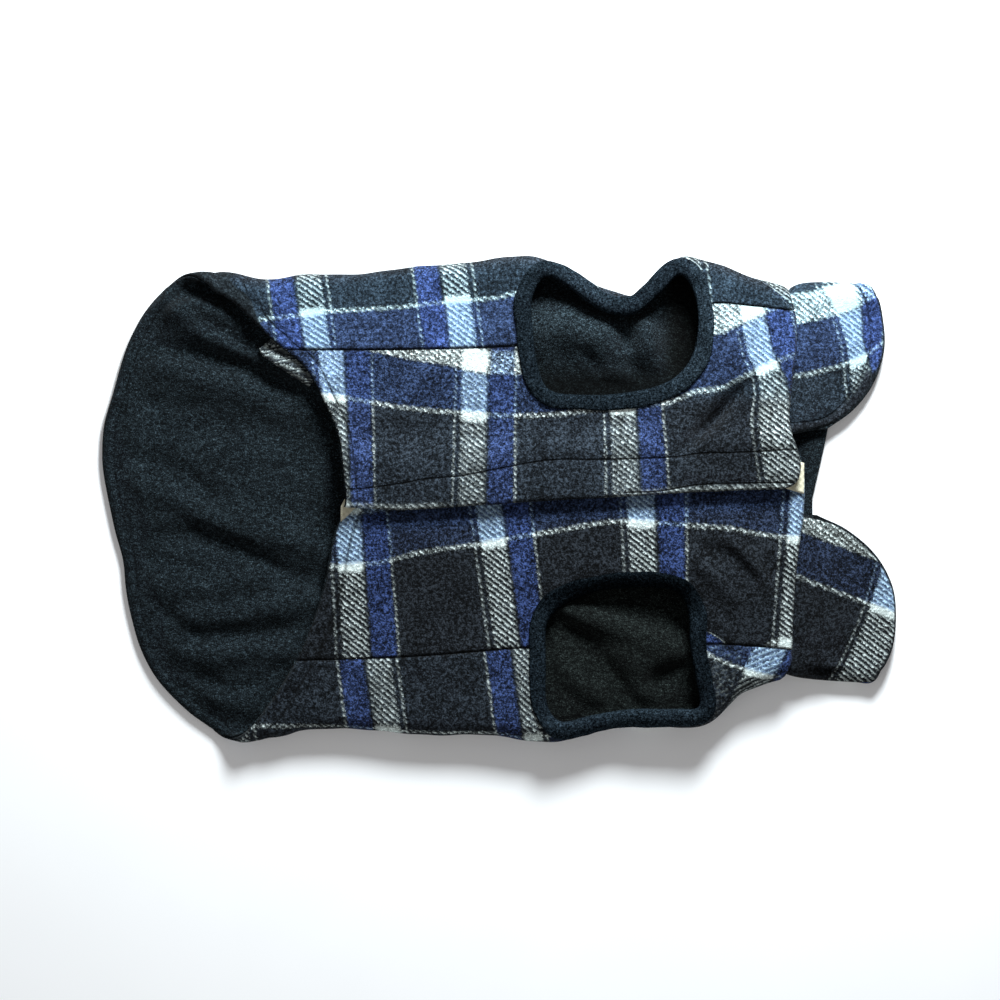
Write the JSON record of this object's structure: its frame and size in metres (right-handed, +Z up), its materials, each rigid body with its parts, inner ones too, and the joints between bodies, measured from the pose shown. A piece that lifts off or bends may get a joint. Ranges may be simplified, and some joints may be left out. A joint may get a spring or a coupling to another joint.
{
  "type": "dog winter coat",
  "caption": "Lined fleece dog coat in a dark plaid, closed along the belly and laid flat on its back, with bound leg holes, a band collar and a longer rounded tail flap.",
  "frame": {"origin": "bottom centre of the bounding box, on the surface that the coat lies on", "axes": "+X from the tail to the neck, +Y to the dog's right as the coat lies belly up, +Z up out of the surface"},
  "size_m": [0.3988, 0.2426, 0.0239],
  "materials": {
    "plaid_fleece": "brushed fleece in a navy, royal blue, charcoal and white plaid",
    "black_fleece": "black fleece with a short matt nap",
    "touch_tape": "off-white woven hook-and-loop tape"
  },
  "bodies": {
    "root": {"back_shell": "plaid_fleece", "back_lining": "black_fleece", "right_front_shell": "plaid_fleece", "right_front_lining": "black_fleece", "left_front_shell": "plaid_fleece", "left_front_lining": "black_fleece", "collar_shell": "plaid_fleece", "collar_lining": "black_fleece", "right_leg_binding": "black_fleece", "left_leg_binding": "black_fleece", "loop_tape": "touch_tape", "hook_tape": "touch_tape"}
  },
  "joints": []
}
